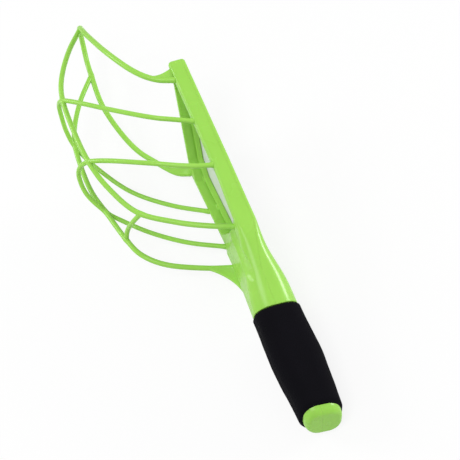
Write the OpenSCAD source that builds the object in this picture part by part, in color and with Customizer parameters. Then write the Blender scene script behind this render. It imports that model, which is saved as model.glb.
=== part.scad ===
// Basket catch paddle: a tray-shaped head that holds a clear panel, a cage of bars
// in front of it and a straight handle with a foam grip.
// Built flat: X towards the tip, Y from the long rail to the lower wall, Z out of the
// panel into the basket. The module laid() then puts it on its side, as it comes to rest.

/* [Head] */
// Length of the long rail beyond the foot of the basket's rim
tip_l = 14; // [8:1:24]
// Length of the head from the rim's foot to the root of the neck
head_l = 140; // [125:1:165]
// Width of the head at its corner
head_w = 74; // [64:1:84]
// Width of the head at the root of the neck
root_w = 62; // [54:1:72]
// Distance of the corner behind the rim's foot
corner_back = 54; // [44:1:66]
// Width of the long rail
rail_w = 6; // [5.5:0.5:9]
// Thickness of the other two walls
wall_t = 3; // [2.4:0.2:4]
// Depth of the front half in front of the panel
front_d = 11; // [9:0.5:14]
// Thickness of the rear half behind the panel
rear_d = 3.5; // [3:0.5:5]
// Rounding of the long rail's edges
rail_r = 2.4; // [1.4:0.2:2.6]

/* [Panel] */
// Thickness of the clear panel
panel_t = 1.2; // [0.8:0.1:2]
// Thickness of the printed sheet on the panel
label_t = 0.2; // [0.1:0.1:0.4]
// Gap round the panel
panel_gap = 0.2; // [0.1:0.1:0.4]
// Width of the ledge that holds the panel
ledge_w = 3.6; // [2.8:0.2:5]
// Height of the ledge over the line where the halves part
ledge_h = 3.5; // [2.8:0.1:4.5]
// Thickness of the lip behind the panel
lip_t = 1; // [0.8:0.1:1.4]

/* [Handle] */
// Length of the neck
neck_l = 67; // [50:1:90]
// Distance of the handle's axis from the long rail's outer face
handle_y = 25; // [20:1:32]
// Height of the handle's axis over the panel
handle_z = 6; // [4:0.5:9]
// Length of the foam grip
grip_l = 85; // [65:1:110]
// Width of the foam grip across the panel
grip_w = 35; // [32:1:42]
// Height of the foam grip along the panel
grip_h = 32; // [28:1:38]
// Swell of the foam at its middle, on each side
palm = 2; // [0:0.5:4]
// Narrowing of the foam towards the cap
grip_taper = 2; // [0:0.5:4]
// Thickness of the foam
foam_t = 3.2; // [2:0.2:5]
// Length of the end cap
cap_l = 6; // [5:1:14]
// Slope of the handle's end along the panel
end_slope = 0.45; // [0:0.05:0.5]
// Slope of the handle's end across the panel
end_lean = 0.17; // [0:0.01:0.25]
// Slope of the neck's end across the panel
neck_lean = 0.1; // [0:0.01:0.15]
// Height of the line where the halves of the handle part
seam_z = 8; // [6:0.5:12]
// Wall of the hollow neck and handle
shell_t = 2.4; // [2:0.2:3]

/* [Basket] */
// Diameter of the rim's bar, the thickest because the others end in it
rim_d = 4.8; // [4.4:0.2:6]
// Diameter of the bars along the basket
bar_d = 4.4; // [4:0.2:4.4]
// Diameter of the hoops across it
hoop_d = 4; // [3:0.2:4]
// How far the rim reaches past its foot
reach = 106; // [90:1:125]
// Depth of the basket over the front of the frame
depth = 85; // [70:1:100]
// Distance of the upper hoop's foot behind the rim's foot
upper_foot = 45; // [35:1:60]
// Distance of the middle hoop's foot behind the rim's foot
middle_foot = 86; // [75:1:100]
// Distance of the upper hoop's far foot behind the corner
upper_end = 45; // [38:1:52]
// Length of the side bar's gusset along the neck
gusset_l = 48; // [36:1:54]
// Thickness of the webs at the ends of the rim
web_t = 2.4; // [1.6:0.2:3.2]
// Length of those webs along the frame
web_l = 12; // [8:1:16]

/* [Screws] */
// Diameter of the screws' shanks
screw_d = 2.6; // [2:0.2:3]
// Diameter of the screws' heads
screw_head_d = 4.8; // [4:0.2:5.4]
// Length of the screws under their heads
screw_l = 8; // [6:0.5:9]

/* [Rest] */
// Turn about the handle as the paddle lies on its side
rest_roll = 23; // [0:0.5:40]
// Rise of the tip as the paddle lies on its side
rest_pitch = 7.5; // [0:0.5:20]

/* [Hidden] */
$fn = 48;
far = 500;
green = [0.6, 0.87, 0.35];
black = [0.1, 0.1, 0.11];
clear = [0.9, 0.9, 0.94];
white = [0.94, 0.94, 0.96];
steel = [0.7, 0.7, 0.72];

// Stations along the handle
root_x = -head_l;
hollow_x = root_x - 10;
seam_x = root_x - 35;
neck_x = root_x - neck_l;
grip_end_x = neck_x - grip_l;
end_x = grip_end_x - cap_l;
grip_mid = [(neck_x + grip_end_x) / 2, handle_y, handle_z];
neck_tilt = [neck_lean / 2, neck_lean];
end_tilt = [end_slope, end_lean];

// Core that carries the foam
core_w = grip_w - 2 * foam_t;
core_h = grip_h - 2 * foam_t;
core_r = core_h / 2 - 2;
grip_r = grip_h / 2 - 3;
grip_edge = 4;
grip_play = 0.1;

// The neck swells in front of the head and starts inside it
root_front = front_d + 2.5;
root_back = -rear_d + 0.5;
root_r = rail_r + 1;
neck_r = grip_r + 1;
neck_round = 0.65;
neck_start = 12;
neck_steps = 8;
rail_bend_x = -0.55 * head_l;
rail_steps = 6;
rail_tip_r = 2.4;

// Shallow dish in the front of the neck's root
dish_r = 62;
dish_x = root_x + 8;
dish_y = 36;
dish_z = front_d - 2.5;
dish_tilt = 12;
dish_ahead = 20;

// Bars: their depth below the frame's front before they are cut, and their facets
dip = 4;
bar_sides = 12;
bar_rings = 3;
corner_steps = 5;

// Tray of the head
tray_r = 4;
corner_cut = 12;
tray_end_x = root_x + 6;
tray_turn_x = root_x + 16;
panel_z = lip_t - rear_d;
panel_front = panel_z + panel_t;
panel_play = 0.1;
ledge_z = panel_front + panel_play;
groove_w = 1.6;
groove_d = 2.2;
rear_ledge_w = 3;

// Screws: the heads sink into the back
screw_head_h = 1.6;
screw_sink = 0.8;
screw_spots = [
    [-2, rail_w - 1.8],
    [-corner_back - 1.9, head_w - 4.9],
    [root_x - 5, 12],
    [root_x - 5, root_w - 14]
];

// Knots of the bars, in parts of the rim's reach, the head's width and the basket's depth
function at(x, y, z) = [x * reach, y * head_w, front_d + z * depth];
function foot(x, y) = [x, y, front_d - dip];
function wall_edge(x) = mix(head_w, root_w, (-corner_back - x) / (head_l - corner_back));
function on_wall(x) = foot(x, wall_edge(x) - wall_t / 2);
function on_tip_wall(along) =
    let (
        corner = [-corner_back, head_w],
        u = unit([2, rail_w + 2] - corner),
        p = corner + along * u + wall_t / 2 * [u[1], -u[0]]
    )
    foot(p[0], p[1]);
rim_tip = at(0.98, 0.72, 0.54);
rim_side = at(0.74, 1.24, 0.53);
upper_cross = at(0.31, 0.63, 1);
middle_cross = at(-0.3, 0.57, 0.99);
upper_side = at(0.09, 1.19, 0.98);
middle_side = at(-0.58, 1.11, 0.94);
spine_low = at(-0.85, 0.48, 0.75);
spine_turn = at(-1.05, 0.36, 0.48);
side_low = at(-0.9, 0.97, 0.87);
rail_line = rail_w / 2;
tip_foot = foot(-4, rail_line);
corner_foot = on_wall(-corner_back - 2);
spine_foot = foot(root_x + 2, 12);
side_foot = [root_x - 14, root_w - 6, front_d + 2];
rim_knots = [
    tip_foot, at(0.04, 0.08, 0.16), at(0.19, 0.14, 0.32), at(0.47, 0.28, 0.46),
    at(0.79, 0.53, 0.53), rim_tip, at(1.04, 0.92, 0.52), at(1, 1.11, 0.51), at(0.88, 1.22, 0.52),
    rim_side, at(0.45, 1.26, 0.54), at(0.17, 1.26, 0.48), at(-0.08, 1.24, 0.38),
    at(-0.26, 1.21, 0.24), at(-0.44, 1.11, 0.1), corner_foot
];
spine_knots = [
    rim_tip, at(0.75, 0.65, 0.76), at(0.51, 0.62, 0.93), upper_cross, at(0, 0.61, 1.01), middle_cross,
    at(-0.57, 0.54, 0.91), spine_low, spine_turn, at(-1.2, 0.24, 0.21), spine_foot
];
side_knots = [
    rim_side, at(0.53, 1.25, 0.74), at(0.3, 1.24, 0.9), upper_side, at(-0.14, 1.19, 1),
    at(-0.36, 1.18, 0.99), middle_side, side_low, at(-1.09, 0.89, 0.79), at(-1.24, 0.85, 0.6),
    at(-1.37, 0.81, 0.28), side_foot, side_foot - [6, 6, front_d]
];
upper_knots = [
    foot(-upper_foot, rail_line), at(-0.35, 0.03, 0.18), at(-0.26, 0.08, 0.36), at(-0.02, 0.29, 0.65),
    at(0.18, 0.47, 0.87), upper_cross, at(0.35, 0.8, 1.03), at(0.29, 0.97, 1.03), at(0.2, 1.09, 1.02),
    upper_side, at(-0.13, 1.24, 0.85), at(-0.43, 1.24, 0.61), at(-0.68, 1.16, 0.29),
    on_wall(-corner_back - upper_end)
];
middle_knots = [
    foot(-middle_foot, rail_line), at(-0.75, 0.05, 0.21), at(-0.6, 0.15, 0.53), at(-0.4, 0.4, 0.83),
    middle_cross, at(-0.27, 0.74, 1.07), at(-0.3, 0.91, 1.09), at(-0.42, 1.03, 1.06), middle_side,
    at(-0.68, 1.15, 0.82), at(-0.87, 1.14, 0.58), at(-1.08, 1, 0.3), on_wall(root_x + 5)
];
link_knots = [
    mix(spine_low, spine_turn, 0.12), at(-0.87, 0.64, 0.792), at(-0.864, 0.84, 0.839), side_low
];

function unit(v) = v / norm(v);
function mix(a, b, t) = a + (b - a) * t;
function ease(t) = t * t * (3 - 2 * t);

// A smooth curve through all the knots of a list
function knot(p, i) =
    i < 0 ? 2 * p[0] - p[1] :
    i >= len(p) ? 2 * p[len(p) - 1] - p[len(p) - 2] :
    p[i];
function between(p, i, t) =
    let (a = knot(p, i - 1), b = knot(p, i), c = knot(p, i + 1), d = knot(p, i + 2))
    b + t * (c - a) / 2
    + t * t * (2 * a - 5 * b + 4 * c - d) / 2
    + t * t * t * (3 * b - a - 3 * c + d) / 2;
function curve(p) = [
    for (i = [0 : len(p) - 2]) for (s = [0 : bar_rings - 1]) between(p, i, s / bar_rings),
    p[len(p) - 1]
];

// Ring of a round bar
function across(p) = unit(cross(p[floor(len(p) / 2)] - p[0], p[len(p) - 1] - p[0]));
function heading(p, i) = unit(p[min(i + 1, len(p) - 1)] - p[max(i - 1, 0)]);
function ring(centre, along, side, r) =
    let (a = unit(cross(along, side)), b = cross(along, a))
    [for (k = [0 : bar_sides - 1])
        centre + r * (cos(360 * k / bar_sides) * a + sin(360 * k / bar_sides) * b)];

// Rounded rectangle across X, from x, both sides, back, front, corner radius and tilt
function section(s) =
    let (x = s[0], y0 = s[1], y1 = s[2], z0 = s[3], z1 = s[4], r = s[5], tilt = s[6])
    [for (q = [0 : 3]) for (k = [0 : corner_steps])
        let (
            a = 90 * (q + k / corner_steps),
            y = (q == 0 || q == 3 ? y1 - r : y0 + r) + r * cos(a),
            z = (q < 2 ? z1 - r : z0 + r) + r * sin(a)
        )
        [x + tilt * [handle_y - y, z - handle_z], y, z]];
function thinner(s, by) = [s[0], s[1] + by, s[2] - by, s[3] + by, s[4] - by, s[5] - by, s[6]];
function on_axis(x, w, h, r, tilt) =
    [x, handle_y - h / 2, handle_y + h / 2, handle_z - w / 2, handle_z + w / 2, r, tilt];

function neck_at(t) =
    let (e = ease(t), grip = on_axis(neck_x, grip_w, grip_h, grip_r, neck_tilt))
    [
        mix(root_x, neck_x, t),
        mix(0, grip[1], e),
        mix(root_w, grip[2], mix(t, e, 0.4)),
        mix(root_back, grip[3], ease(e)),
        mix(root_front, grip[4], mix(t, e, 0.5)),
        mix(root_r, neck_r, t ^ neck_round),
        t * neck_tilt
    ];
neck_stations = [
    [root_x + neck_start, 0.4, root_w, root_back, front_d - 0.5, rail_r, [0, 0]],
    for (k = [0 : neck_steps]) neck_at(k / neck_steps)
];
core_stations = [
    on_axis(neck_x + 1, core_w, core_h, core_r, neck_tilt),
    on_axis(end_x + 5, core_w, core_h, core_r, end_tilt),
    on_axis(end_x + 2, core_w - 2, core_h - 2, core_r - 1, end_tilt),
    on_axis(end_x, core_w - 7, core_h - 7, core_r - 3.5, end_tilt)
];
hollow_w = core_w - 2 * shell_t;
hollow_h = core_h - 2 * shell_t;
hollow_r = core_r - shell_t;

// A closed skin over rings of equal count
module skin(rings) {
    n = len(rings[0]);
    last = len(rings) - 1;
    polyhedron(
        points = [for (r = rings) each r],
        faces = [
            [for (k = [0 : n - 1]) k],
            for (i = [0 : last - 1]) for (k = [0 : n - 1]) each [
                [i * n + k, (i + 1) * n + k, i * n + (k + 1) % n],
                [i * n + (k + 1) % n, (i + 1) * n + k, (i + 1) * n + (k + 1) % n]
            ],
            [for (k = [n - 1 : -1 : 0]) last * n + k]
        ]
    );
}

module bar(knots, d) {
    path = curve(knots);
    side = across(knots);
    skin([for (i = [0 : len(path) - 1]) ring(path[i], heading(path, i), side, d / 2)]);
}

module loft(stations) {
    skin([for (i = [len(stations) - 1 : -1 : 0]) section(stations[i])]);
}

module slab(z0, z1) {
    translate([-far, -far, z0]) cube([2 * far, 2 * far, z1 - z0]);
}

module rail_loft() {
    loft([
        for (k = [0 : 3])
            let (inset = rail_tip_r * (1 - sin(30 * k)))
            [
                tip_l - rail_tip_r * (1 - cos(30 * k)), inset / 2, rail_w - inset / 2,
                -rear_d + inset, front_d - inset, rail_r - inset / 2, [0, 0]
            ],
        [rail_bend_x, 0, rail_w, -rear_d, front_d, rail_r, [0, 0]],
        for (k = [1 : rail_steps])
            let (t = k / rail_steps)
            [
                mix(rail_bend_x, root_x, t), 0, rail_w,
                mix(-rear_d, root_back, ease(t)), mix(front_d, root_front, ease(t)), rail_r, [0, 0]
            ]
    ]);
}

// Cylinder along X that rises towards the grip and cuts the dish
module dish() {
    translate([dish_x, dish_y, dish_z]) rotate([0, dish_tilt - 90, 0])
        translate([dish_r, 0, -dish_ahead]) cylinder(r = dish_r, h = neck_l + dish_ahead, $fn = 96);
}

module handle_outside() {
    difference() {
        loft(neck_stations);
        dish();
    }
    loft(core_stations);
}

module handle_inside() {
    loft([for (s = neck_stations) if (s[0] < hollow_x && s[0] > neck_x + 1) thinner(s, shell_t)]);
    loft([
        on_axis(neck_x + shell_t + 1, hollow_w, hollow_h, hollow_r, neck_tilt),
        on_axis(end_x + shell_t + 5, hollow_w, hollow_h, hollow_r, end_tilt)
    ]);
}

// Flat outlines of the head
module head_outline() {
    polygon([
        [2, rail_w / 2], [2, rail_w + 2], [-corner_back, head_w], [root_x, root_w], [root_x, rail_w / 2]
    ]);
}

module tray_outline(inset) {
    corner = [-corner_back, head_w];
    to_tip = unit([2, rail_w + 2] - corner);
    to_root = unit([root_x, root_w] - corner);
    offset(r = tray_r) offset(delta = -inset - tray_r) polygon([
        [2, rail_w - wall_t], [2, rail_w + 2], corner + corner_cut * to_tip, corner + corner_cut * to_root,
        [tray_turn_x, wall_edge(tray_turn_x)], [tray_end_x, 0.6 * root_w], [tray_end_x, rail_w - wall_t]
    ]);
}

// The halves part behind the head's walls, and higher in the handle
module front_space() {
    translate([0, far, 0]) rotate([90, 0, 0]) linear_extrude(2 * far) polygon([
        [far, 0], [root_x, 0], [seam_x, seam_z], [-far, seam_z], [-far, far], [far, far]
    ]);
}

module screws_at(z0, z1, d) {
    for (s = screw_spots) translate([s[0], s[1], z0]) cylinder(d = d, h = z1 - z0);
}

module screw_holes() {
    screws_at(-rear_d - 1, -rear_d + screw_sink + screw_head_h, screw_head_d);
    screws_at(-rear_d, -rear_d + screw_sink + screw_head_h + screw_l, screw_d);
}

module front_frame() {
    color(green) difference() {
        union() {
            intersection() {
                difference() {
                    handle_outside();
                    handle_inside();
                }
                front_space();
            }
            intersection() {
                rail_loft();
                slab(0, far);
            }
            linear_extrude(front_d) head_outline();
            translate([0, 0, ledge_z]) linear_extrude(ledge_h / 2 - ledge_z)
                tray_outline(wall_t + panel_gap);
        }
        translate([0, 0, -rear_d]) linear_extrude(far) tray_outline(wall_t + ledge_w);
        translate([0, 0, ledge_h]) linear_extrude(far) tray_outline(wall_t);
        translate([0, 0, ledge_h - groove_d]) linear_extrude(groove_d + 1) difference() {
            tray_outline(wall_t);
            tray_outline(wall_t + groove_w);
        }
        dish();
        screw_holes();
    }
}

module rear_frame() {
    color(green) difference() {
        union() {
            difference() {
                handle_outside();
                handle_inside();
                front_space();
            }
            intersection() {
                rail_loft();
                slab(-far, 0);
            }
            translate([0, 0, -rear_d]) linear_extrude(rear_d) head_outline();
        }
        translate([0, 0, panel_z]) linear_extrude(far) tray_outline(wall_t);
        translate([0, 0, -rear_d - 1]) linear_extrude(far) tray_outline(wall_t + rear_ledge_w);
        screw_holes();
    }
}

module panel() {
    color(clear) translate([0, 0, panel_z]) linear_extrude(panel_t) tray_outline(wall_t + panel_gap);
}

module panel_label() {
    color(white) translate([0, 0, panel_front]) linear_extrude(label_t)
        tray_outline(wall_t + ledge_w + 1);
}

module foam_grip() {
    steps = 8;
    end_w = grip_w - grip_taper;
    color(black) difference() {
        loft([
            on_axis(
                neck_x - grip_play, grip_w - grip_edge, grip_h - grip_edge, grip_r - grip_edge / 2, neck_tilt
            ),
            for (k = [0 : steps])
                let (
                    t = k / steps,
                    x = mix(neck_x - grip_edge / 2, grip_end_x + grip_edge / 2, t),
                    swell = 2 * palm * sin(180 * t) ^ 2
                )
                on_axis(x, grip_w - grip_taper * t + swell, grip_h, grip_r, mix(neck_tilt, end_tilt, t)),
            on_axis(grip_end_x, end_w - grip_edge, grip_h - grip_edge, grip_r - grip_edge / 2, end_tilt)
        ]);
        loft([
            on_axis(neck_x + 1, core_w, core_h, core_r, neck_tilt),
            on_axis(grip_end_x - 1, core_w, core_h, core_r, end_tilt)
        ]);
    }
}

// A thin web between three points, flat along the rim
module web(a, b, c) {
    hull() for (p = [a, b, c]) translate(p) sphere(d = web_t, $fn = 16);
}

module mouth_rim() {
    color(green) difference() {
        union() {
            bar(rim_knots, rim_d);
            web(tip_foot + [web_l, 0, dip], tip_foot, mix(rim_knots[1], rim_knots[2], 0.2));
            web(rim_knots[14], corner_foot, on_tip_wall(web_l));
        }
        slab(-far, front_d);
    }
}

module spine() {
    color(green) difference() {
        bar(spine_knots, bar_d);
        bar(rim_knots, rim_d);
        slab(-far, front_d);
        handle_outside();
    }
}

module side_bar() {
    color(green) difference() {
        union() {
            bar(side_knots, bar_d);
            web(between(side_knots, 10, 0.5), side_foot, [root_x - gusset_l, root_w - 20, front_d + 6]);
        }
        bar(rim_knots, rim_d);
        slab(-far, 0);
        handle_outside();
    }
}

module upper_hoop() {
    color(green) difference() {
        bar(upper_knots, hoop_d);
        bar(spine_knots, bar_d);
        bar(side_knots, bar_d);
        slab(-far, front_d);
    }
}

module middle_hoop() {
    color(green) difference() {
        bar(middle_knots, hoop_d);
        bar(spine_knots, bar_d);
        bar(side_knots, bar_d);
        slab(-far, front_d);
        handle_outside();
    }
}

module lower_link() {
    color(green) difference() {
        bar(link_knots, hoop_d);
        bar(spine_knots, bar_d);
        bar(side_knots, bar_d);
    }
}

module frame_screws() {
    top = -rear_d + screw_sink;
    color(steel) {
        screws_at(top, top + screw_head_h, screw_head_d);
        screws_at(top + screw_head_h, top + screw_head_h + screw_l, screw_d);
    }
}

module laid() {
    rotate([rest_roll - 90, -rest_pitch, 0]) translate(-grip_mid) children();
}

laid() front_frame();
laid() rear_frame();
laid() panel();
laid() panel_label();
laid() foam_grip();
laid() mouth_rim();
laid() spine();
laid() side_bar();
laid() upper_hoop();
laid() middle_hoop();
laid() lower_link();
laid() frame_screws();
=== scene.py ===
"""Basket catch paddle: moulded halves, basket bars, panel, foam grip and screws, dressed for rendering.

Shapes are built flat and in millimetres, as in the part's source: X to the tip, Y from the long rail to
the lower wall, Z out of the panel. Each finished piece is then laid on its side, in metres.
"""
from math import cos, pi, radians, sin, tan

import bmesh
import bpy
from mathutils import Matrix, Vector, noise

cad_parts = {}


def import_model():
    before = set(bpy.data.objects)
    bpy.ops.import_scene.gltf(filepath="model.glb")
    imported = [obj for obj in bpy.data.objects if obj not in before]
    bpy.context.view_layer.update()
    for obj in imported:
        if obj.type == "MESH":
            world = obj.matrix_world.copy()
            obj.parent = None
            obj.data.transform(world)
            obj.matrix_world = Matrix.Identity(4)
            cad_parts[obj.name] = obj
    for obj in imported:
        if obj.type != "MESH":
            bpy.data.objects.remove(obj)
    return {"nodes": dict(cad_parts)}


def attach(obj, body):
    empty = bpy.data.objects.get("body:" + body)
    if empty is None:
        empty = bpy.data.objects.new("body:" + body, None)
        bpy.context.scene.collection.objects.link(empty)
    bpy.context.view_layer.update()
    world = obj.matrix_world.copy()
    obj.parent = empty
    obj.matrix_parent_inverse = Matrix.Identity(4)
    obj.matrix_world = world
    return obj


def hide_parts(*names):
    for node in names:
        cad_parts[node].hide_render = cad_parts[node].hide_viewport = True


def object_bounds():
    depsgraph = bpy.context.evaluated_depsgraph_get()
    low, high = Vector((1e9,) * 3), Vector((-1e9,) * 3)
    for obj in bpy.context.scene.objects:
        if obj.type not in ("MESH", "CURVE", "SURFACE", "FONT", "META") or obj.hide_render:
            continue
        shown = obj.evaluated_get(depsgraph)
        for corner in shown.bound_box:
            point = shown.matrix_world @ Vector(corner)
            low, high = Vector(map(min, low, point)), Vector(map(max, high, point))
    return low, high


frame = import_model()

cad_low, cad_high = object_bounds()

# Head
TIP_L = 14
HEAD_L = 140
HEAD_W = 74
ROOT_W = 62
CORNER_BACK = 54
CORNER_R = 2.2
RAIL_W = 6
RAIL_R = 2.4
RAIL_TIP_R = 2.4
WALL_T = 3
FRONT_D = 11
REAR_D = 3.5
ROOT_X = -HEAD_L
RAIL_LINE = RAIL_W / 2
RAIL_BEND_X = -0.55 * HEAD_L
TIP_CORNER = Vector((2, RAIL_W + 2))
SIDE_CORNER = Vector((-CORNER_BACK, HEAD_W))
ROOT_CORNER = Vector((ROOT_X, ROOT_W))

# Panel, and the tray that holds it
PANEL_T = 1.2
PANEL_GAP = 0.2
PANEL_PLAY = 0.1
LIP_T = 1
LEDGE_W = 3.6
LEDGE_H = 3.5
REAR_LEDGE_W = 3
PANEL_Z = LIP_T - REAR_D
PANEL_FRONT = PANEL_Z + PANEL_T
LEDGE_Z = PANEL_FRONT + PANEL_PLAY
TRAY_R = 4
TRAY_END_X = ROOT_X + 6
TRAY_END_Y = 0.6 * ROOT_W
TRAY_TURN_X = ROOT_X + 16
CORNER_CUT = 12

# Groove at the foot of the tray's walls, and the short ribs that bridge it
GROOVE_W = 1.6
GROOVE_D = 2.4
RIB_SPOTS = (-95.5, -66)
RIB_L = 5
RIB_INTO_LEDGE = 0.3
RIB_INTO_WALL = 1

# Handle: the neck starts inside the head, and the core carries the foam and ends in the cap
NECK_L = 67
HANDLE_Y = 25
HANDLE_Z = 6
GRIP_L = 85
GRIP_W = 35
GRIP_H = 32
PALM = 2
GRIP_TAPER = 2
FOAM_T = 3.2
CAP_L = 6
CAP_EDGE = 5
CAP_INSET = 7
NECK_TILT = Vector((0.05, 0.1))
END_TILT = Vector((0.45, 0.17))
LEVEL = Vector((0, 0))
NECK_X = ROOT_X - NECK_L
GRIP_END_X = NECK_X - GRIP_L
END_X = GRIP_END_X - CAP_L
GRIP_MID = Vector(((NECK_X + GRIP_END_X) / 2, HANDLE_Y, HANDLE_Z))
CORE_W = GRIP_W - 2 * FOAM_T
CORE_H = GRIP_H - 2 * FOAM_T
CORE_R = CORE_H / 2 - 2
GRIP_R = GRIP_H / 2 - 3
NECK_R = GRIP_R + 1
NECK_START_X = ROOT_X + 12
NECK_START_Y = 0.4
NECK_START_Z = FRONT_D - 0.5
ROOT_FRONT = FRONT_D + 2.5
ROOT_BACK = -REAR_D + 0.5

# Share of easing in the lines of the neck's lower side and front, which are straight otherwise
LOWER_EASE = 0.4
FRONT_EASE = 0.5

# Line where the halves part: at the panel in the head, higher in the handle
SEAM_X = ROOT_X - 35
SEAM_Z = 8
SEAM_GAP = 0.06

# Trough beside the rail, which runs out on the side of the neck: its radius and the knots of its axis
TROUGH_R = 12
TROUGH_Z = FRONT_D + TROUGH_R
TROUGH_KNOTS = [
    Vector((ROOT_X + 14, 26, TROUGH_Z - 3.5)), Vector((ROOT_X + 2, 21, TROUGH_Z - 1.2)),
    Vector((ROOT_X - 18, 14.5, TROUGH_Z + 2)), Vector((ROOT_X - 32, 6, TROUGH_Z + 3.4)),
    Vector((ROOT_X - 46, -1, TROUGH_Z + 0.5)), Vector((ROOT_X - 60, -10, TROUGH_Z - 2)),
]

# Foam: how it stands proud at the neck, its rounded edges, its gaps and its unevenness
FOAM_PROUD = 1.4
FOAM_EDGE = 2.5
FOAM_FLAT = 1
FOAM_GAP = 0.15
FOAM_PLAY = 0.4
FOAM_START_X = NECK_X - FOAM_GAP
DENT_D = 0.25
DENT_L = 14
PIT_D = 0.08
PIT_L = 2.5

# Screws, sunk in the back, with the dome in shares of the head's radius and falls from its top
SCREW_HEAD_D = 4.8
SCREW_HEAD_H = 1.6
SCREW_SINK = 0.8
SCREW_PLAY = 0.1
SCREW_D = 2.6
SCREW_L = 8
SCREW_POINT_L = 0.6
SCREW_POINT_R = 0.05
SCREW_DOME = ((0.6, 0.12), (0.9, 0.45), (1, 0.9))
RECESS_L = 1.35
RECESS_W = 0.32
RECESS_D = 0.95
SCREW_TOP = -REAR_D + SCREW_SINK
SCREW_UNDER = SCREW_TOP + SCREW_HEAD_H
SCREW_SPOTS = [
    (-2, RAIL_W - 1.8), (-CORNER_BACK - 1.9, HEAD_W - 4.9), (ROOT_X - 5, 12), (ROOT_X - 5, ROOT_W - 14),
]

# Basket bars: their sizes, and how they swell at joints, spread on the frame and thin out inside it
RIM_D = 4.8
BAR_D = 4.4
HOOP_D = 4
REACH = 106
DEPTH = 85
UPPER_FOOT = 45
MIDDLE_FOOT = 86
UPPER_END = 45
DIP = 4
JOINT_SWELL = 0.35
JOINT_SPAN = 6
FOOT_SWELL = 0.5
FOOT_SPAN = 4
SUNK_R = 1.2
SUNK_SPAN = 2.5
SUNK_GROWTH = 0.5

# Webs at the ends of the rim, and the gusset of the side bar
WEB_T = 2.4
WEB_L = 12
GUSSET_L = 48

# Steps of curves
ARC_STEPS = 8
SECTION_STEPS = 14
CURVE_STEPS = 16
TROUGH_STEPS = 8
NECK_STEPS = 36
RAIL_STEPS = 18
TIP_STEPS = 6
CAP_STEPS = 12
FOAM_STEPS = 90
FOAM_ARC_STEPS = 16
BAR_SIDES = 24
TROUGH_SIDES = 64
HOLE_SIDES = 32
SCREW_SIDES = 40

# Finish of the moulded body
VOXEL = 0.5
SMOOTH_FACTOR = 0.5
SMOOTH_ROUNDS = 5
FACES_KEPT = 0.5
SHARP_ANGLE = radians(50)

# An angle that counts as straight, and lengths past a face and past everything
STRAIGHT_ANGLE = radians(175)
OVERLAP = 1
FAR = 500

# Rest on the side, from the flat frame in millimetres to metres about the middle of the grip
REST_ROLL = 23
REST_PITCH = 7.5
MM = 0.001
TURN = Matrix.Rotation(radians(-REST_PITCH), 4, "Y") @ Matrix.Rotation(radians(REST_ROLL - 90), 4, "X")
TO_REST = Matrix.Scale(MM, 4) @ TURN @ Matrix.Translation(-GRIP_MID)

# Colours of each look, deep and pale, and the range that most of a noise lies in
GREEN_TONES = ((0.295, 0.615, 0.078), (0.325, 0.65, 0.092))
FOAM_TONES = ((0.003, 0.0028, 0.0044), (0.005, 0.0046, 0.0068))
CLEAR_TONES = ((0.76, 0.77, 0.82), (0.81, 0.82, 0.86))
FILM_TONES = ((0.77, 0.77, 0.82), (0.81, 0.81, 0.85))
STEEL_TONES = ((0.38, 0.38, 0.39), (0.55, 0.55, 0.56))
WHITE = (1, 1, 1, 1)
NOISE_LOW = 0.3
NOISE_HIGH = 0.7

# Floor and light, in metres, with the share of white that the camera and reflections see
FLOOR_SIZE = 6
FLOOR_GAP = 0.0004
FLOOR_GREY = (0.86, 0.86, 0.86, 1)
FLOOR_SEEN = 0.85
FLOOR_MIRRORED = 0.25
SKY_LIGHT = 0.55
LAMP_AIM = Vector((0.13, 0.03, 0.02))

# Camera of the photo: its place and axes in the flat frame, its focal length in pixels
CAM_PLACE = Vector((-351.69, -583.03, 189.87))
CAM_RIGHT = Vector((-0.381, -0.1293, -0.9155))
CAM_UP = Vector((0.8651, -0.3993, -0.3036))
FOCAL_PX = 850
PHOTO_PX = 460
SENSOR_W = 36
CLIP_START = 0.01


def mix(a, b, t):
    return a + (b - a) * t


def ease(t):
    return t * t * (3 - 2 * t)


# Places on the frame and in the basket
def at(x, y, z):
    """A point in shares of the rim's reach, the head's width and the basket's depth."""
    return Vector((x * REACH, y * HEAD_W, FRONT_D + z * DEPTH))


def foot(x, y):
    """The end of a bar, a little inside the frame's front."""
    return Vector((x, y, FRONT_D - DIP))


def wall_edge(x):
    """Outer edge of the lower wall."""
    return mix(HEAD_W, ROOT_W, (-CORNER_BACK - x) / (HEAD_L - CORNER_BACK))


def on_wall(x):
    return foot(x, wall_edge(x) - WALL_T / 2)


def on_tip_wall(along):
    way = (TIP_CORNER - SIDE_CORNER).normalized()
    return foot(*(SIDE_CORNER + along * way + WALL_T / 2 * Vector((way.y, -way.x))))


# Knots of the bars, as in the part's source, but with the spine's foot let down into the trough
RIM_TIP = at(0.98, 0.72, 0.54)
RIM_SIDE = at(0.74, 1.24, 0.53)
UPPER_CROSS = at(0.31, 0.63, 1)
MIDDLE_CROSS = at(-0.3, 0.57, 0.99)
UPPER_SIDE = at(0.09, 1.19, 0.98)
MIDDLE_SIDE = at(-0.58, 1.11, 0.94)
SPINE_LOW = at(-0.85, 0.48, 0.75)
SPINE_TURN = at(-1.05, 0.36, 0.48)
LINK_TOP = mix(SPINE_LOW, SPINE_TURN, 0.12)
SIDE_LOW = at(-0.9, 0.97, 0.87)
JOINTS = [RIM_TIP, RIM_SIDE, UPPER_CROSS, MIDDLE_CROSS, UPPER_SIDE, MIDDLE_SIDE, LINK_TOP, SIDE_LOW]
TIP_FOOT = foot(-4, RAIL_LINE)
CORNER_FOOT = on_wall(-CORNER_BACK - 2)
SPINE_FOOT = Vector((ROOT_X + 1, 13, 3))
SIDE_FOOT = Vector((ROOT_X - 14, ROOT_W - 6, FRONT_D + 2))
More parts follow.
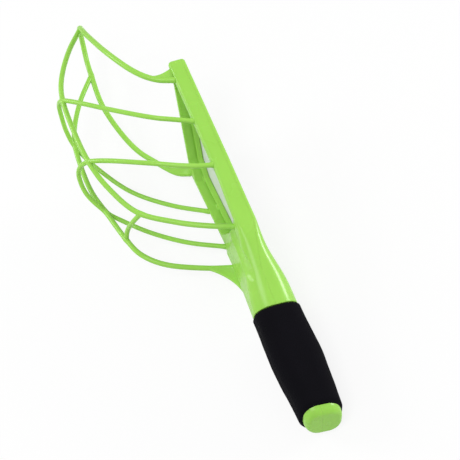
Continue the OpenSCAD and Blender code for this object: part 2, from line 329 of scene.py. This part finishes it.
RIM_KNOTS = [
    TIP_FOOT, at(0.04, 0.08, 0.16), at(0.19, 0.14, 0.32), at(0.47, 0.28, 0.46),
    at(0.79, 0.53, 0.53), RIM_TIP, at(1.04, 0.92, 0.52), at(1, 1.11, 0.51), at(0.88, 1.22, 0.52),
    RIM_SIDE, at(0.45, 1.26, 0.54), at(0.17, 1.26, 0.48), at(-0.08, 1.24, 0.38),
    at(-0.26, 1.21, 0.24), at(-0.44, 1.11, 0.1), CORNER_FOOT,
]
SPINE_KNOTS = [
    RIM_TIP, at(0.75, 0.65, 0.76), at(0.51, 0.62, 0.93), UPPER_CROSS, at(0, 0.61, 1.01), MIDDLE_CROSS,
    at(-0.57, 0.54, 0.91), SPINE_LOW, SPINE_TURN, at(-1.2, 0.24, 0.21), SPINE_FOOT,
]
SIDE_KNOTS = [
    RIM_SIDE, at(0.53, 1.25, 0.74), at(0.3, 1.24, 0.9), UPPER_SIDE, at(-0.14, 1.19, 1),
    at(-0.36, 1.18, 0.99), MIDDLE_SIDE, SIDE_LOW, at(-1.09, 0.89, 0.79), at(-1.24, 0.85, 0.6),
    at(-1.37, 0.81, 0.28), SIDE_FOOT, SIDE_FOOT - Vector((6, 6, FRONT_D)),
]
UPPER_KNOTS = [
    foot(-UPPER_FOOT, RAIL_LINE), at(-0.35, 0.03, 0.18), at(-0.26, 0.08, 0.36), at(-0.02, 0.29, 0.65),
    at(0.18, 0.47, 0.87), UPPER_CROSS, at(0.35, 0.8, 1.03), at(0.29, 0.97, 1.03), at(0.2, 1.09, 1.02),
    UPPER_SIDE, at(-0.13, 1.24, 0.85), at(-0.43, 1.24, 0.61), at(-0.68, 1.16, 0.29),
    on_wall(-CORNER_BACK - UPPER_END),
]
MIDDLE_KNOTS = [
    foot(-MIDDLE_FOOT, RAIL_LINE), at(-0.75, 0.05, 0.21), at(-0.6, 0.15, 0.53), at(-0.4, 0.4, 0.83),
    MIDDLE_CROSS, at(-0.27, 0.74, 1.07), at(-0.3, 0.91, 1.09), at(-0.42, 1.03, 1.06), MIDDLE_SIDE,
    at(-0.68, 1.15, 0.82), at(-0.87, 1.14, 0.58), at(-1.08, 1, 0.3), on_wall(ROOT_X + 5),
]
LINK_KNOTS = [LINK_TOP, at(-0.87, 0.64, 0.792), at(-0.864, 0.84, 0.839), SIDE_LOW]

# The side bar stops inside the neck, short of its last knot
SIDE_BAR_SPAN = slice(0, -6)

# Webs: where each ends on the frame, the points of the bar that carry it, and how hollow its edge is
TIP_WEB_END = TIP_FOOT + Vector((WEB_L, 0, DIP - 1))
TIP_WEB_SPAN = slice(4, 28)
TIP_WEB_HOLLOW = 2
CORNER_WEB_END = on_tip_wall(WEB_L - 2)
CORNER_WEB_SPAN = slice(3, 34)
CORNER_WEB_HOLLOW = 1.25
GUSSET_END = Vector((ROOT_X - GUSSET_L, ROOT_W - 20, FRONT_D + 6))
GUSSET_SPAN = slice(0, 28)
GUSSET_HOLLOW = 1.5


# Node materials, with textures in the object's own space and scales per metre
class Look:
    """A material whose colour, roughness and relief each follow a texture."""

    def __init__(self, name):
        self.material = bpy.data.materials.new(name)
        self.material.use_nodes = True
        self.nodes = self.material.node_tree.nodes
        self.links = self.material.node_tree.links
        self.shader = self.nodes["Principled BSDF"]

    def texture(self, kind, **values):
        where = self.nodes.new("ShaderNodeTexCoord")
        node = self.nodes.new(kind)
        for name, value in values.items():
            node.inputs[name].default_value = value
        self.links.new(where.outputs["Object"], node.inputs["Vector"])
        return node

    def noise(self, scale, detail, rough=0.5):
        node = self.texture("ShaderNodeTexNoise", Scale=scale, Detail=detail, Roughness=rough)
        return node.outputs["Fac"]

    def cells(self, scale):
        return self.texture("ShaderNodeTexVoronoi", Scale=scale).outputs["Distance"]

    def colour(self, source, tones, between=(NOISE_LOW, NOISE_HIGH)):
        node = self.nodes.new("ShaderNodeValToRGB")
        for stop, place, tone in zip(node.color_ramp.elements, between, tones):
            stop.position = place
            stop.color = (*tone, 1)
        self.links.new(source, node.inputs["Fac"])
        self.links.new(node.outputs["Color"], self.shader.inputs["Base Color"])

    def roughness(self, source, low, high):
        node = self.nodes.new("ShaderNodeMapRange")
        node.inputs["From Min"].default_value = NOISE_LOW
        node.inputs["From Max"].default_value = NOISE_HIGH
        node.inputs["To Min"].default_value = low
        node.inputs["To Max"].default_value = high
        self.links.new(source, node.inputs["Value"])
        self.links.new(node.outputs["Result"], self.shader.inputs["Roughness"])

    def relief(self, source, strength, distance):
        node = self.nodes.new("ShaderNodeBump")
        node.inputs["Strength"].default_value = strength
        node.inputs["Distance"].default_value = distance
        self.links.new(source, node.inputs["Height"])
        self.links.new(node.outputs["Normal"], self.shader.inputs["Normal"])

    def fixed(self, values):
        for name, value in values.items():
            self.shader.inputs[name].default_value = value


def green_plastic():
    look = Look("green_plastic")
    look.colour(look.noise(scale=30, detail=4), GREEN_TONES, between=(0.25, 0.75))
    look.roughness(look.noise(scale=45, detail=2), low=0.25, high=0.29)
    look.relief(look.noise(scale=1400, detail=2), strength=0.01, distance=0.0002)
    look.fixed({
        "Specular IOR Level": 0.3,
        "Subsurface Weight": 0.08,
        "Subsurface Radius": (0.4, 1.0, 0.2),
        "Subsurface Scale": 0.003,
    })
    return look.material


def black_foam():
    look = Look("black_foam")
    cloud = look.noise(scale=45, detail=4)
    look.colour(cloud, FOAM_TONES, between=(0.3, 0.75))
    look.roughness(cloud, low=0.78, high=0.92)
    look.relief(look.cells(scale=1100), strength=0.35, distance=0.0004)
    look.fixed({"Specular IOR Level": 0.06})
    return look.material


def clear_sheet(name, tones, through):
    look = Look(name)
    streak = look.noise(scale=60, detail=3)
    look.colour(look.noise(scale=22, detail=3), tones)
    look.roughness(streak, low=0.2, high=0.26)
    look.relief(streak, strength=0.02, distance=0.0002)
    look.fixed({"Transmission Weight": through, "IOR": 1.46})
    return look.material


def screw_steel():
    look = Look("screw_steel")
    brushed = look.noise(scale=900, detail=4, rough=0.6)
    look.colour(brushed, STEEL_TONES)
    look.roughness(brushed, low=0.25, high=0.42)
    look.relief(brushed, strength=0.1, distance=0.0001)
    look.fixed({"Metallic": 1})
    return look.material


GREEN = green_plastic()
FOAM = black_foam()
CLEAR = clear_sheet("clear_plastic", CLEAR_TONES, through=0.3)
FILM = clear_sheet("printed_sheet", FILM_TONES, through=0.05)
STEEL = screw_steel()


# Meshes and the operations on them
def new_object(name, data):
    thing = bpy.data.objects.new(name, data)
    bpy.context.scene.collection.objects.link(thing)
    return thing


def mesh_object(name, points, faces):
    mesh = bpy.data.meshes.new(name)
    mesh.from_pydata([tuple(point) for point in points], [], faces)
    mesh.update()
    work = bmesh.new()
    work.from_mesh(mesh)
    bmesh.ops.recalc_face_normals(work, faces=work.faces)
    work.to_mesh(mesh)
    work.free()
    return new_object(name, mesh)


def skin(name, rings, closed=False):
    """A solid over rings of points, capped at both ends or closed from the last ring to the first."""
    count = len(rings[0])
    last = len(rings) - 1
    faces = []
    for i in range(last + 1 if closed else last):
        here = i * count
        there = (i + 1) % len(rings) * count
        for k in range(count):
            after = (k + 1) % count
            faces.append((here + k, there + k, there + after, here + after))
    if not closed:
        faces.append(tuple(range(count)))
        faces.append(tuple(last * count + k for k in range(count)))
    return mesh_object(name, [point for ring in rings for point in ring], faces)


def prism(name, outline, z0, z1):
    return skin(name, [[(x, y, z) for x, y in outline] for z in (z0, z1)])


def box(name, low, high):
    outline = [(low[0], low[1]), (high[0], low[1]), (high[0], high[1]), (low[0], high[1])]
    return prism(name, outline, low[2], high[2])


def circle(x, y, r, sides):
    angles = [2 * pi * k / sides for k in range(sides)]
    return [(x + r * cos(angle), y + r * sin(angle)) for angle in angles]


def drop(thing):
    mesh = thing.data
    bpy.data.objects.remove(thing)
    bpy.data.meshes.remove(mesh)


def apply_modifiers(thing):
    graph = bpy.context.evaluated_depsgraph_get()
    mesh = bpy.data.meshes.new_from_object(thing.evaluated_get(graph))
    old = thing.data
    thing.modifiers.clear()
    thing.data = mesh
    bpy.data.meshes.remove(old)


def combine(thing, other, operation):
    """Joins another mesh to a thing, cuts it away or keeps what both share; the other mesh is used up."""
    modifier = thing.modifiers.new("combine", "BOOLEAN")
    modifier.operation = operation
    modifier.solver = "MANIFOLD"
    modifier.object = other
    apply_modifiers(thing)
    drop(other)


def merged(things):
    first, *others = things
    for other in others:
        combine(first, other, "UNION")
    return first


def mould(thing):
    """Gives a thing one skin with rounded edges, as a mould would leave it."""
    remesh = thing.modifiers.new("remesh", "REMESH")
    remesh.mode = "VOXEL"
    remesh.voxel_size = VOXEL
    smooth = thing.modifiers.new("smooth", "SMOOTH")
    smooth.factor = SMOOTH_FACTOR
    smooth.iterations = SMOOTH_ROUNDS
    thin = thing.modifiers.new("thin", "DECIMATE")
    thin.ratio = FACES_KEPT
    apply_modifiers(thing)


def dress(thing, material):
    thing.data.materials.clear()
    thing.data.materials.append(material)


def piece(thing, name, material, node):
    """Lays a finished thing on its side, dresses it and puts it in the place of a node."""
    thing.name = name
    thing.data.name = name
    thing.data.transform(TO_REST)
    thing.data.shade_smooth()
    dress(thing, material)
    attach(thing, "root")
    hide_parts(node)


def green_piece(thing, name, node):
    piece(thing, name, GREEN, node)


# Curves and tubes
def curve(knots, steps=CURVE_STEPS):
    """A smooth path through the knots."""
    ends = [2 * knots[0] - knots[1]] + knots + [2 * knots[-1] - knots[-2]]
    path = []
    for i in range(1, len(knots)):
        a, b, c, d = ends[i - 1:i + 3]
        slope = (c - a) / 2
        square = (2 * a - 5 * b + 4 * c - d) / 2
        cube = (3 * b - a - 3 * c + d) / 2
        for k in range(steps):
            t = k / steps
            path.append(b + t * slope + t * t * square + t ** 3 * cube)
    path.append(knots[-1].copy())
    return path


def tube(name, path, radii, sides):
    side = (path[len(path) // 2] - path[0]).cross(path[-1] - path[0]).normalized()
    rings = []
    for i, (point, radius) in enumerate(zip(path, radii)):
        along = (path[min(i + 1, len(path) - 1)] - path[max(i - 1, 0)]).normalized()
        across = along.cross(side).normalized()
        over = along.cross(across)
        rings.append([point + radius * (x * across + y * over) for x, y in circle(0, 0, 1, sides)])
    return skin(name, rings)


# Rounded rectangles across X and lofts over them
def section(x, y0, y1, z0, z1, r, tilt=LEVEL, steps=SECTION_STEPS):
    """A ring across X that leans by the tilt about the handle's axis."""
    ring = []
    for quarter in range(4):
        middle_y = y1 - r if quarter in (0, 3) else y0 + r
        middle_z = z1 - r if quarter in (0, 1) else z0 + r
        for k in range(steps + 1):
            angle = pi / 2 * (quarter + k / steps)
            y = middle_y + r * cos(angle)
            z = middle_z + r * sin(angle)
            lean = tilt.dot(Vector((HANDLE_Y - y, z - HANDLE_Z)))
            ring.append((x + lean, y, z))
    return ring


def on_axis(x, w, h, r, tilt):
    """Values of a section about the handle's axis, h along the panel and w across it."""
    return (x, HANDLE_Y - h / 2, HANDLE_Y + h / 2, HANDLE_Z - w / 2, HANDLE_Z + w / 2, r, tilt)


def loft(name, stations):
    return skin(name, [section(*station) for station in stations])


def neck_at(t):
    """Values of the neck's section at a share of its length, from the head's shape to the grip's."""
    eased = ease(t)
    _, upper, lower, back, front, *_ = on_axis(NECK_X, GRIP_W, GRIP_H, GRIP_R, NECK_TILT)
    return (
        mix(ROOT_X, NECK_X, t),
        mix(0, upper, eased),
        mix(ROOT_W, lower, mix(t, eased, LOWER_EASE)),
        mix(ROOT_BACK, back, ease(eased)),
        mix(ROOT_FRONT, front, mix(t, eased, FRONT_EASE)),
        mix(RAIL_R, NECK_R, sin(pi / 2 * t)),
        t * NECK_TILT,
    )


def neck_loft():
    stations = [(NECK_START_X, NECK_START_Y, ROOT_W, ROOT_BACK, NECK_START_Z, RAIL_R)]
    stations += [neck_at(k / NECK_STEPS) for k in range(NECK_STEPS + 1)]
    return loft("neck", stations)


def core_loft():
    """The core of the handle, with the cap's rounded end."""
    stations = [on_axis(NECK_X + OVERLAP, CORE_W, CORE_H, CORE_R, NECK_TILT)]
    for k in range(CAP_STEPS + 1):
        angle = pi / 2 * k / CAP_STEPS
        inset = CAP_INSET * (1 - cos(angle))
        x = END_X + CAP_EDGE * (1 - sin(angle))
        stations.append(on_axis(x, CORE_W - inset, CORE_H - inset, CORE_R - inset / 2, END_TILT))
    return loft("core", stations)


def rail_loft():
    """The long rail, from its rounded tip to the thicker root of the neck."""
    stations = []
    for k in range(TIP_STEPS + 1):
        angle = pi / 2 * k / TIP_STEPS
        inset = RAIL_TIP_R * (1 - sin(angle))
        stations.append((
            TIP_L - RAIL_TIP_R * (1 - cos(angle)), inset / 2, RAIL_W - inset / 2,
            -REAR_D + inset, FRONT_D - inset, RAIL_R - inset / 2,
        ))
    for k in range(RAIL_STEPS + 1):
        t = k / RAIL_STEPS
        stations.append((
            mix(RAIL_BEND_X, ROOT_X, t), 0, RAIL_W,
            mix(-REAR_D, ROOT_BACK, ease(t)), mix(FRONT_D, ROOT_FRONT, ease(t)), RAIL_R,
        ))
    return loft("rail", stations)


# Flat outlines of the head
def inset_lines(outline, by):
    """The corners of an outline whose sides are all moved inwards."""
    count = len(outline)
    lines = []
    for i in range(count):
        start, end = Vector(outline[i]), Vector(outline[(i + 1) % count])
        along = (end - start).normalized()
        lines.append((start + by * Vector((-along.y, along.x)), along))
    corners = []
    for i in range(count):
        (p, p_way), (q, q_way) = lines[i - 1], lines[i]
        corners.append(p + (q - p).cross(q_way) / p_way.cross(q_way) * p_way)
    return corners


def rounded(outline, radius):
    """An outline with an arc at each corner that isn't nearly straight."""
    count = len(outline)
    points = []
    for i in range(count):
        before, corner, after = (Vector(outline[(i + k) % count]) for k in (-1, 0, 1))
        back = (before - corner).normalized()
        ahead = (after - corner).normalized()
        angle = back.angle(ahead)
        if angle > STRAIGHT_ANGLE:
            points.append(tuple(corner))
            continue
        reach = radius / tan(angle / 2)
        centre = corner + (back + ahead).normalized() * (radius / sin(angle / 2))
        start = corner + back * reach - centre
        end = corner + ahead * reach - centre
        turn = start.angle_signed(end)
        for k in range(ARC_STEPS + 1):
            points.append(tuple(centre + Matrix.Rotation(-turn * k / ARC_STEPS, 2) @ start))
    return points


def head_outline():
    rail_ends = [(ROOT_X, RAIL_LINE), (TIP_CORNER.x, RAIL_LINE)]
    return rounded([TIP_CORNER, SIDE_CORNER, ROOT_CORNER] + rail_ends, CORNER_R)


def tray_outline(inset):
    """The tray's outer edge, with its corner cut off, moved inwards."""
    to_tip = (TIP_CORNER - SIDE_CORNER).normalized()
    to_root = (ROOT_CORNER - SIDE_CORNER).normalized()
    outline = [
        (TIP_CORNER.x, RAIL_W - WALL_T), TIP_CORNER,
        SIDE_CORNER + CORNER_CUT * to_tip, SIDE_CORNER + CORNER_CUT * to_root,
        (TRAY_TURN_X, wall_edge(TRAY_TURN_X)), (TRAY_END_X, TRAY_END_Y), (TRAY_END_X, RAIL_W - WALL_T),
    ]
    return rounded(inset_lines(outline, inset), TRAY_R)


# Moulded halves
def trough():
    path = curve(TROUGH_KNOTS, TROUGH_STEPS)
    return tube("trough", path, [TROUGH_R] * len(path), TROUGH_SIDES)


def groove():
    thing = prism("groove", tray_outline(WALL_T), LEDGE_H - GROOVE_D, FAR)
    combine(thing, prism("kept", tray_outline(WALL_T + GROOVE_W), -OVERLAP, FAR + OVERLAP), "DIFFERENCE")
    return thing


def groove_rib(x):
    """A short bridge over the groove at the foot of the lower wall."""
    wall = wall_edge(x) - WALL_T
    low = (x - RIB_L / 2, wall - GROOVE_W - RIB_INTO_LEDGE, 0)
    high = (x + RIB_L / 2, wall + RIB_INTO_WALL, LEDGE_H)
    return box("rib", low, high)


def tray_cuts():
    """The windows before and behind the panel, its slot, the tray's inside and the groove."""
    return [
        prism("front_window", tray_outline(WALL_T + LEDGE_W), PANEL_Z, FAR),
        prism("rear_window", tray_outline(WALL_T + REAR_LEDGE_W), -FAR, PANEL_Z + PANEL_PLAY),
        prism("slot", tray_outline(WALL_T), PANEL_Z, LEDGE_Z),
        prism("inside", tray_outline(WALL_T), LEDGE_H, FAR),
        groove(),
    ]


def screw_hole(x, y):
    outline = circle(x, y, SCREW_HEAD_D / 2 + SCREW_PLAY, HOLE_SIDES)
    return prism("hole", outline, -REAR_D - OVERLAP, SCREW_UNDER)


def whole_body():
    """Both halves in one, so that their surfaces run on across the parting line."""
    thing = merged([neck_loft(), core_loft(), rail_loft(), prism("head", head_outline(), -REAR_D, FRONT_D)])
    for cut in tray_cuts():
        combine(thing, cut, "DIFFERENCE")
    for x in RIB_SPOTS:
        combine(thing, groove_rib(x), "UNION")
    combine(thing, trough(), "DIFFERENCE")
    for x, y in SCREW_SPOTS:
        combine(thing, screw_hole(x, y), "DIFFERENCE")
    mould(thing)
    return thing


def front_space(gap):
    """Everything in front of the line where the halves part, with the spigot that holds the panel."""
    outline = [
        (FAR, gap), (ROOT_X, gap), (SEAM_X, SEAM_Z + gap),
        (-FAR, SEAM_Z + gap), (-FAR, FAR), (FAR, FAR),
    ]
    thing = skin("space", [[(x, y, z) for x, z in outline] for y in (-FAR, FAR)])
    combine(thing, prism("spigot", tray_outline(WALL_T + PANEL_GAP), PANEL_FRONT, OVERLAP), "UNION")
    return thing


def halves():
    front = whole_body()
    rear = new_object("rear", front.data.copy())
    combine(front, front_space(SEAM_GAP), "INTERSECT")
    combine(rear, front_space(0), "DIFFERENCE")
    green_piece(front, "front_half", "front_frame")
    green_piece(rear, "rear_half", "rear_frame")
    for thing in (front, rear):
        thing.data.set_sharp_from_angle(angle=SHARP_ANGLE)


# Basket bars
def bar_radius(point, radius, ends):
    """A bar's radius: swollen at joints, spread on the frame, thin inside it and in bars it ends in."""
    near = min((point - joint).length for joint in JOINTS)
    radius += JOINT_SWELL * max(0, 1 - near / JOINT_SPAN) ** 2
    rise = point.z - FRONT_D
    if rise > 0:
        radius += FOOT_SWELL * max(0, 1 - rise / FOOT_SPAN) ** 2
    else:
        radius = mix(radius + FOOT_SWELL, SUNK_R, min(-rise / SUNK_SPAN, 1))
    for end in ends:
        radius = min(radius, SUNK_R + SUNK_GROWTH * (point - end).length)
    return radius


def bar(name, path, diameter, ends=()):
    return tube(name, path, [bar_radius(point, diameter / 2, ends) for point in path], BAR_SIDES)


def web(name, path, corner, hollow):
    """A thin plate between a bar's stretch and the frame, with a hollow and rounded free edge."""
    base = corner - path[0]
    out = base.normalized()
    normal = base.cross(path[-1] - path[0]).normalized()
    half = WEB_T / 2
    rings = []
    for i, point in enumerate(path):
        edge = point + (1 - i / (len(path) - 1)) ** hollow * base
        ring = [point - half * normal, edge - half * normal]
        ring += [edge + half * (sin(a) * out - cos(a) * normal) for a in (pi / 4, pi / 2, 3 * pi / 4)]
        ring += [edge + half * normal, point + half * normal]
        rings.append(ring)
    return skin(name, rings)


def plain_bar(name, node, knots, diameter, ends=()):
    green_piece(bar(name, curve(knots), diameter, ends), name, node)


def mouth_rim():
    path = curve(RIM_KNOTS)
    tip_web = web("tip_web", path[TIP_WEB_SPAN], TIP_WEB_END, TIP_WEB_HOLLOW)
    corner_web = web("corner_web", path[::-1][CORNER_WEB_SPAN], CORNER_WEB_END, CORNER_WEB_HOLLOW)
    thing = merged([bar("rim", path, RIM_D), tip_web, corner_web])
    green_piece(thing, "basket_rim", "mouth_rim")


def side_bar():
    path = curve(SIDE_KNOTS)[SIDE_BAR_SPAN]
    gusset = web("gusset", path[::-1][GUSSET_SPAN], GUSSET_END, GUSSET_HOLLOW)
    thing = merged([bar("side", path, BAR_D, [RIM_SIDE]), gusset])
    green_piece(thing, "basket_side", "side_bar")


# Foam sleeve
def foam_ring(t):
    """Outside of the foam at a share of its length: swollen, rounded at its ends, slightly uneven."""
    x = mix(FOAM_START_X, GRIP_END_X, t)
    from_end = min(FOAM_START_X - x, x - GRIP_END_X)
    pull = 0
    if from_end < FOAM_EDGE:
        pull = FOAM_EDGE - (FOAM_EDGE ** 2 - (FOAM_EDGE - from_end) ** 2) ** 0.5
    proud = FOAM_PROUD * (1 - t) - 2 * pull
    w = GRIP_W - GRIP_TAPER * t + 2 * PALM * sin(pi * t) ** 2 + proud
    h = GRIP_H + proud
    even = on_axis(x, w, h, min(GRIP_R, h / 2 - FOAM_FLAT), mix(NECK_TILT, END_TILT, t))
    ring = []
    for spot in section(*even, steps=FOAM_ARC_STEPS):
        point = Vector(spot)
        out = (point - Vector((point.x, HANDLE_Y, HANDLE_Z))).normalized()
        swell = DENT_D * noise.noise(point / DENT_L) + PIT_D * noise.noise(point / PIT_L)
        ring.append(point + out * swell)
    return ring


def foam_grip():
    rings = [foam_ring(k / FOAM_STEPS) for k in range(FOAM_STEPS + 1)]
    for x, tilt in ((GRIP_END_X, END_TILT), (FOAM_START_X, NECK_TILT)):
        inner = on_axis(x, CORE_W + FOAM_PLAY, CORE_H + FOAM_PLAY, CORE_R, tilt)
        rings.append(section(*inner, steps=FOAM_ARC_STEPS))
    thing = skin("foam", rings, closed=True)
    piece(thing, "foam_sleeve", FOAM, "foam_grip")


# Screws
def screw(x, y):
    """A screw with a domed head and a cross recess."""
    head_r = SCREW_HEAD_D / 2
    shank_r = SCREW_D / 2
    end = SCREW_UNDER + SCREW_L
    profile = [(SCREW_POINT_R, SCREW_TOP)]
    profile += [(share * head_r, SCREW_TOP + fall) for share, fall in SCREW_DOME]
    profile += [(head_r, SCREW_UNDER), (shank_r, SCREW_UNDER), (shank_r, end)]
    profile += [(SCREW_POINT_R, end + SCREW_POINT_L)]
    thing = skin("screw", [[(*spot, z) for spot in circle(x, y, r, SCREW_SIDES)] for r, z in profile])
    for long, wide in ((RECESS_L, RECESS_W), (RECESS_W, RECESS_L)):
        low = (x - long, y - wide, SCREW_TOP - OVERLAP)
        high = (x + long, y + wide, SCREW_TOP + RECESS_D)
        combine(thing, box("recess", low, high), "DIFFERENCE")
    return thing


def screws():
    thing = merged([screw(x, y) for x, y in SCREW_SPOTS])
    piece(thing, "case_screws", STEEL, "frame_screws")
    thing.data.shade_flat()


# Floor, light and camera
def worked_out(tree, operation, *values):
    """The result of a math node on sockets and plain numbers."""
    node = tree.nodes.new("ShaderNodeMath")
    node.operation = operation
    for socket, value in zip(node.inputs, values):
        if isinstance(value, bpy.types.NodeSocket):
            tree.links.new(value, socket)
        else:
            socket.default_value = value
    return node.outputs[0]


def floor_material():
    """Matte to the light, and partly plain white to the camera, through clear sheets and in reflections."""
    material = bpy.data.materials.new("floor")
    material.use_nodes = True
    tree = material.node_tree
    tree.nodes.clear()
    out = tree.nodes.new("ShaderNodeOutputMaterial")
    matte = tree.nodes.new("ShaderNodeBsdfDiffuse")
    matte.inputs["Color"].default_value = FLOOR_GREY
    glow = tree.nodes.new("ShaderNodeEmission")
    glow.inputs["Color"].default_value = WHITE
    rays = tree.nodes.new("ShaderNodeLightPath").outputs
    seen = worked_out(tree, "MAXIMUM", rays["Is Camera Ray"], rays["Is Transmission Ray"])
    shown = worked_out(tree, "MULTIPLY", seen, FLOOR_SEEN)
    mirrored = worked_out(tree, "MULTIPLY", rays["Is Glossy Ray"], FLOOR_MIRRORED)
    blend = tree.nodes.new("ShaderNodeMixShader")
    tree.links.new(worked_out(tree, "MAXIMUM", shown, mirrored), blend.inputs["Fac"])
    tree.links.new(matte.outputs[0], blend.inputs[1])
    tree.links.new(glow.outputs[0], blend.inputs[2])
    tree.links.new(blend.outputs[0], out.inputs["Surface"])
    return material


def floor():
    level = cad_low.z - FLOOR_GAP
    corners = [(x * FLOOR_SIZE, y * FLOOR_SIZE, level) for x, y in ((-1, -1), (1, -1), (1, 1), (-1, 1))]
    thing = mesh_object("floor", corners, [(0, 1, 2, 3)])
    dress(thing, floor_material())


def camera():
    data = bpy.data.cameras.new("camera")
    data.sensor_width = SENSOR_W
    data.lens = FOCAL_PX / PHOTO_PX * SENSOR_W
    data.clip_start = CLIP_START
    turn = TURN.to_3x3()
    right = (turn @ CAM_RIGHT).normalized()
    back = right.cross(turn @ CAM_UP).normalized()
    up = back.cross(right)
    place = Matrix((right, up, back)).transposed().to_4x4()
    place.translation = TO_REST @ CAM_PLACE
    thing = new_object("camera", data)
    thing.matrix_world = place
    bpy.context.scene.camera = thing


def world():
    """A soft white sky, at full strength to the camera only."""
    sky = bpy.data.worlds.new("studio")
    sky.use_nodes = True
    tree = sky.node_tree
    rays = tree.nodes.new("ShaderNodeLightPath").outputs
    strength = worked_out(tree, "MULTIPLY_ADD", rays["Is Camera Ray"], 1 - SKY_LIGHT, SKY_LIGHT)
    background = tree.nodes["Background"]
    background.inputs["Color"].default_value = WHITE
    tree.links.new(strength, background.inputs["Strength"])
    bpy.context.scene.world = sky


def lamp(name, towards, distance, size, watts):
    """A round area lamp, set off from its aim to the right, up and back as the photo's camera sees it."""
    data = bpy.data.lights.new(name, "AREA")
    data.shape = "DISK"
    data.size = size
    data.energy = watts
    view = bpy.context.scene.camera.matrix_world.to_3x3()
    place = LAMP_AIM + distance * (view @ Vector(towards)).normalized()
    thing = new_object(name, data)
    thing.location = place
    thing.rotation_euler = (LAMP_AIM - place).to_track_quat("-Z", "Y").to_euler()


halves()
mouth_rim()
plain_bar("basket_spine", "spine", SPINE_KNOTS, BAR_D, [RIM_TIP])
side_bar()
plain_bar("basket_upper_hoop", "upper_hoop", UPPER_KNOTS, HOOP_D)
plain_bar("basket_middle_hoop", "middle_hoop", MIDDLE_KNOTS, HOOP_D)
plain_bar("basket_link", "lower_link", LINK_KNOTS, HOOP_D, [LINK_TOP, SIDE_LOW])
foam_grip()
screws()
dress(frame["nodes"]["panel"], CLEAR)
dress(frame["nodes"]["panel_label"], FILM)

floor()
camera()
world()
lamp("key", towards=(0.9, 0.5, 0.3), distance=1.2, size=0.3, watts=6.5)
lamp("side", towards=(-0.91, 0.33, 0.15), distance=1.3, size=0.5, watts=5)
lamp("front", towards=(-0.35, 0.15, 0.92), distance=1.4, size=0.8, watts=8)
bpy.context.scene.view_settings.view_transform = "Standard"
